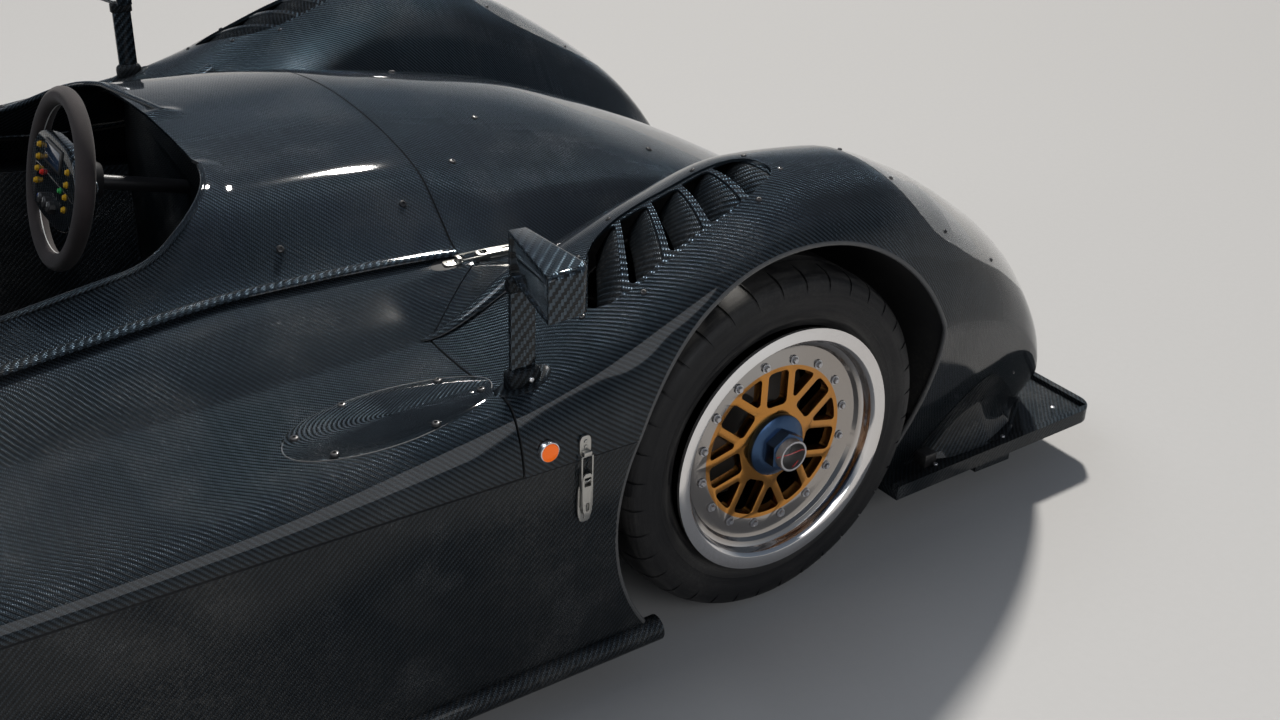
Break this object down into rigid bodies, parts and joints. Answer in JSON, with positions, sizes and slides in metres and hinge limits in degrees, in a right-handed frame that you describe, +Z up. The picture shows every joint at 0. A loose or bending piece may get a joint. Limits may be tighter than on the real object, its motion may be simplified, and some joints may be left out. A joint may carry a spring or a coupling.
{
  "type": "sports prototype race car",
  "caption": "Open-cockpit sports prototype race car in bare carbon fibre, with steered front wheels, louvred fenders, splitter and rear wing.",
  "frame": {"origin": "on the ground under the middle of the whole car, at the bottom centre of its bounding box", "axes": "+X forward to the nose, +Y to the left side, +Z up"},
  "size_m": [4.08, 1.926, 1.0396],
  "materials": {
    "carbon_body": "clear-coated twill carbon",
    "carbon_dark": "satin carbon",
    "clear_cover": "worn clear polycarbonate",
    "exhaust": "heat tinted",
    "hub": "machined",
    "lamp": "lamp reflectors",
    "marker": "amber lens",
    "metal": "cast",
    "pad": "black cloth over foam",
    "rim": "polished barrel, bronze centre",
    "steel_dark": "satin black",
    "suede": "worn suede",
    "tail_lamp": "red lens",
    "tow": "red paint",
    "tyre": "scuffed rubber"
  },
  "bodies": {
    "chassis": {"cockpit_surround": "carbon_body", "dash_panel": "carbon_dark", "engine_block": "metal", "exhaust": "exhaust", "floor_tray": "carbon_dark", "front_bodywork": "carbon_body", "front_wishbones": "steel_dark", "gearbox": "metal", "head_pad": "pad", "headlamp_covers": "clear_cover", "headlamps": "lamp", "louvre_panels": "carbon_body", "marker_lamps": "marker", "mirror_left": "carbon_body", "mirror_right": "carbon_body", "monocoque_tub": "carbon_dark", "rear_bodywork": "carbon_body", "rear_bulkhead": "carbon_dark", "rear_diffuser": "carbon_dark", "rear_uprights": "metal", "rear_wing": "carbon_body", "rear_wishbones": "steel_dark", "roll_hoop": "steel_dark", "seat": "carbon_dark", "side_pod_left": "carbon_body", "side_pod_right": "carbon_body", "side_skirt_left": "carbon_dark", "side_skirt_right": "carbon_dark", "sill_rolls": "carbon_body", "splitter": "carbon_body", "tail_lamps": "tail_lamp", "tow_eyes": "tow", "wheel_liners": "carbon_dark", "wing_end_plates": "carbon_body", "wing_pylons": "metal"},
    "steering": {"steering_wheel": "suede"},
    "knuckle_left": {"front_knuckle_left": "metal"},
    "knuckle_right": {"front_knuckle_right": "metal"},
    "wheel_front_left": {"front_tyre_left": "tyre", "front_rim_left": "rim", "front_hub_left": "hub"},
    "wheel_front_right": {"front_tyre_right": "tyre", "front_rim_right": "rim", "front_hub_right": "hub"},
    "wheel_rear_left": {"rear_tyre_left": "tyre", "rear_rim_left": "rim", "rear_hub_left": "hub"},
    "wheel_rear_right": {"rear_tyre_right": "tyre", "rear_rim_right": "rim", "rear_hub_right": "hub"}
  },
  "joints": [
    {"name": "steering_wheel_turn", "type": "hinge", "parent": "chassis", "child": "steering", "pos_m": [0.36, 0, 0.622], "axis": [-0.9703, 0, 0.2419], "range_deg": [-180, 180]},
    {"name": "knuckle_left_steer", "type": "hinge", "parent": "chassis", "child": "knuckle_left", "pos_m": [1.18, 0.655, 0.293], "axis": [0, 0, 1], "range_deg": [-15, 15]},
    {"name": "knuckle_right_steer", "type": "hinge", "parent": "chassis", "child": "knuckle_right", "pos_m": [1.18, -0.655, 0.293], "axis": [0, 0, 1], "range_deg": [-15, 15]},
    {"name": "wheel_front_left_spin", "type": "hinge", "parent": "knuckle_left", "child": "wheel_front_left", "pos_m": [1.18, 0.7355, 0.293], "axis": [0, 1, 0], "continuous": true},
    {"name": "wheel_front_right_spin", "type": "hinge", "parent": "knuckle_right", "child": "wheel_front_right", "pos_m": [1.18, -0.7355, 0.293], "axis": [0, 1, 0], "continuous": true},
    {"name": "wheel_rear_left_spin", "type": "hinge", "parent": "chassis", "child": "wheel_rear_left", "pos_m": [-1.22, 0.71, 0.313], "axis": [0, 1, 0], "continuous": true},
    {"name": "wheel_rear_right_spin", "type": "hinge", "parent": "chassis", "child": "wheel_rear_right", "pos_m": [-1.22, -0.71, 0.313], "axis": [0, 1, 0], "continuous": true}
  ],
  "couplings": [
    {"joint": "knuckle_left_steer", "follows": "steering_wheel_turn", "ratio": 0.083333},
    {"joint": "knuckle_right_steer", "follows": "steering_wheel_turn", "ratio": 0.083333}
  ]
}
